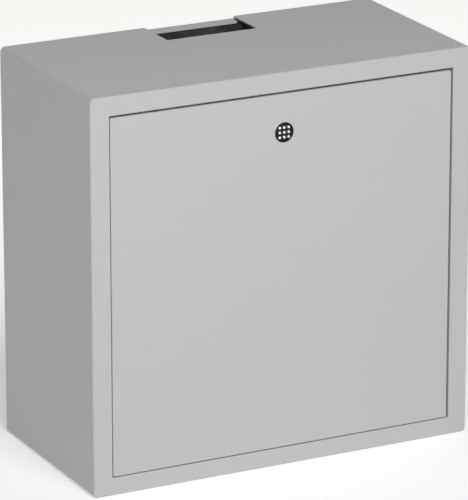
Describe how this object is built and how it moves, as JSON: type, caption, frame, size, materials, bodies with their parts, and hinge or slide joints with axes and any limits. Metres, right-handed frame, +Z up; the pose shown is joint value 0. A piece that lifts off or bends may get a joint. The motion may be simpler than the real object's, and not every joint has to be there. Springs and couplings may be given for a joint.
{
  "type": "ashtray bin",
  "caption": "Shallow grey sheet-steel ashtray cabinet with a rear drop slot and stub ledge in its top, and a flush locked front that tilts out with a lift-off liner.",
  "frame": {"origin": "centre of the base, on the face the cabinet stands on", "axes": "+Z up; +Y towards the rear, the wall side; -Y out of the door; +X to the right seen from the front"},
  "size_m": [0.4, 0.2, 0.39],
  "materials": {
    "grey_powder_coat": "light grey fine-texture powder coat, satin",
    "black_stove_paint": "matt black heat-resistant paint",
    "galvanised_sheet": "galvanised, dull",
    "zinc_plate": "bright zinc plate",
    "bright_steel": "bright",
    "black_rubber": "matt",
    "nylon": "natural",
    "black_lock": "black, satin",
    "white_pins": "white enamel"
  },
  "bodies": {
    "housing": {"housing_shell": "grey_powder_coat", "back_panel": "grey_powder_coat", "stub_ledge": "grey_powder_coat", "slot_chute": "black_stove_paint", "top_rivet_left": "bright_steel", "top_rivet_right": "bright_steel", "lock_strike": "zinc_plate", "stay_guide_left": "zinc_plate", "stay_guide_right": "zinc_plate", "door_buffer_left": "black_rubber", "door_buffer_right": "black_rubber", "hinge_pin_left": "bright_steel", "hinge_pin_right": "bright_steel", "hinge_clip_left": "bright_steel", "hinge_clip_right": "bright_steel"},
    "door": {"door_panel": "grey_powder_coat", "hinge_bush_left": "nylon", "hinge_bush_right": "nylon", "door_stay_left": "zinc_plate", "door_stay_right": "zinc_plate", "stay_stop_left": "bright_steel", "stay_stop_right": "bright_steel", "stay_rivet_left_lower": "bright_steel", "stay_rivet_left_upper": "bright_steel", "stay_rivet_right_lower": "bright_steel", "stay_rivet_right_upper": "bright_steel", "liner_rail": "zinc_plate", "liner_buffer_left": "black_rubber", "liner_buffer_right": "black_rubber", "lock_bracket": "zinc_plate", "lock_barrel": "black_lock", "lock_nut": "zinc_plate"},
    "lock": {"lock_plug": "black_lock", "lock_pin_plate": "white_pins", "lock_cam": "zinc_plate", "cam_washer": "bright_steel", "cam_screw": "bright_steel"},
    "liner": {"liner_body": "galvanised_sheet", "liner_hook_left": "galvanised_sheet", "liner_hook_right": "galvanised_sheet", "hook_rivet_left_lower": "bright_steel", "hook_rivet_left_upper": "bright_steel", "hook_rivet_right_lower": "bright_steel", "hook_rivet_right_upper": "bright_steel", "bail_ear_left": "galvanised_sheet", "bail_ear_right": "galvanised_sheet", "ear_rivet_left_front": "bright_steel", "ear_rivet_left_rear": "bright_steel", "ear_rivet_right_front": "bright_steel", "ear_rivet_right_rear": "bright_steel"},
    "bail": {"liner_bail": "bright_steel", "bail_grip": "black_rubber"}
  },
  "joints": [
    {"name": "door_tilt", "type": "hinge", "parent": "housing", "child": "door", "pos_m": [0, -0.094, 0.0487], "axis": [1, 0, 0], "range_deg": [0, 40]},
    {"name": "lock_turn", "type": "hinge", "parent": "door", "child": "lock", "pos_m": [0, -0.1, 0.3314], "axis": [0, 1, 0], "range_deg": [0, 90]},
    {"name": "liner_lift", "type": "slide", "parent": "door", "child": "liner", "axis": [0, 0, 1], "range_m": [0, 0.02]},
    {"name": "bail_swing", "type": "hinge", "parent": "liner", "child": "bail", "pos_m": [0, -0.006, 0.281], "axis": [-1, 0, 0], "range_deg": [0, 180]}
  ]
}
